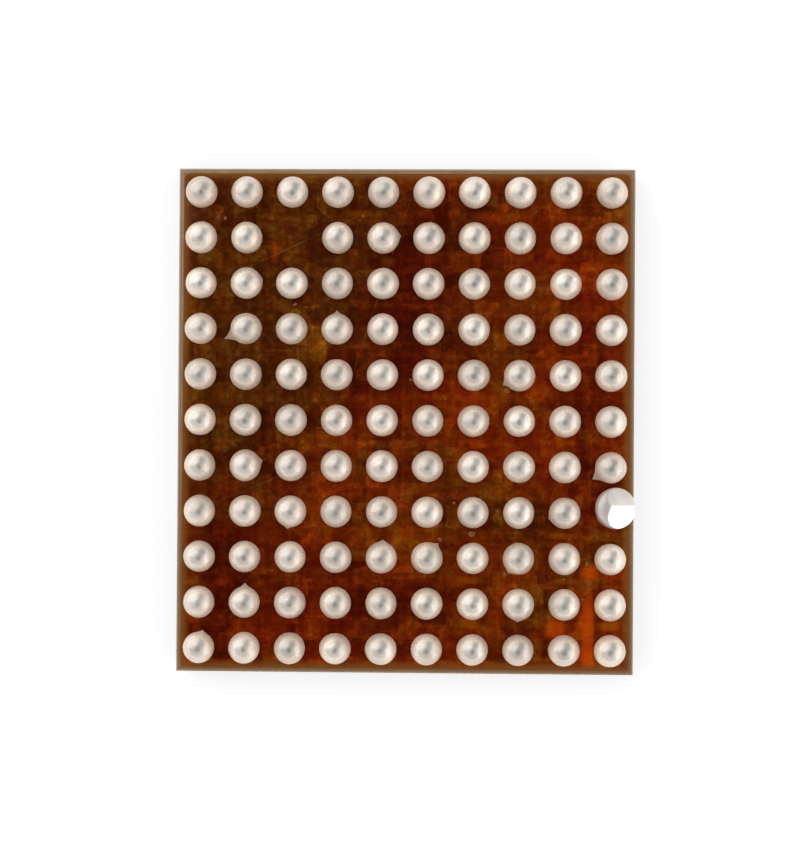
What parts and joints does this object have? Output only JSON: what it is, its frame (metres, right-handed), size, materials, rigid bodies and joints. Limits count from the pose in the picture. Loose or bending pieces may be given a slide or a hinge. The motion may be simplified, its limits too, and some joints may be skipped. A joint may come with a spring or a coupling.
{
  "type": "wafer-level ball grid array chip",
  "caption": "Small rectangular silicon chip with a grid of round solder balls on its amber-brown coated face, one site bare and one ball slumped.",
  "frame": {"origin": "middle of the flat back face, which is also the lowest face: the chip lies on its back", "axes": "+Z out of the ball side, at right angles to the back face; +X along the rows of balls, from the left column to the column with the slumped ball; +Y along the columns, from the last row to the first"},
  "size_m": [0.004, 0.0044, 0.0006],
  "materials": {
    "back_film": "matte",
    "silicon": "satin",
    "wiring_stack": "satin",
    "aluminium": "satin",
    "lower_polymer": "gloss",
    "upper_polymer": "gloss",
    "copper": "satin",
    "contact_metal": "satin",
    "solder": "satin"
  },
  "bodies": {
    "root": {"back_film": "back_film", "silicon_die": "silicon", "wiring_stack": "wiring_stack", "seal_ring": "aluminium", "die_pads": "aluminium", "lower_polymer": "lower_polymer", "signal_copper_row_a": "copper", "signal_copper_row_b": "copper", "signal_copper_row_c": "copper", "signal_copper_row_d": "copper", "signal_copper_row_e": "copper", "signal_copper_row_f": "copper", "signal_copper_row_g": "copper", "signal_copper_row_h": "copper", "signal_copper_row_j": "copper", "signal_copper_row_k": "copper", "signal_copper_row_l": "copper", "copper_plane_1": "copper", "copper_plane_2": "copper", "copper_plane_3": "copper", "copper_plane_4": "copper", "copper_plane_5": "copper", "copper_plane_6": "copper", "copper_plane_7": "copper", "copper_plane_8": "copper", "copper_plane_9": "copper", "upper_polymer": "upper_polymer", "contact_dishes_row_a": "contact_metal", "contact_dishes_row_b": "contact_metal", "contact_dishes_row_c": "contact_metal", "contact_dishes_row_d": "contact_metal", "contact_dishes_row_e": "contact_metal", "contact_dishes_row_f": "contact_metal", "contact_dishes_row_g": "contact_metal", "contact_dishes_row_h": "contact_metal", "contact_dishes_row_j": "contact_metal", "contact_dishes_row_k": "contact_metal", "contact_dishes_row_l": "contact_metal", "balls_row_a": "solder", "balls_row_b": "solder", "balls_row_c": "solder", "balls_row_d": "solder", "balls_row_e": "solder", "balls_row_f": "solder", "balls_row_g": "solder", "balls_row_h": "solder", "balls_row_j": "solder", "balls_row_k": "solder", "balls_row_l": "solder", "slumped_ball": "solder"}
  },
  "joints": []
}
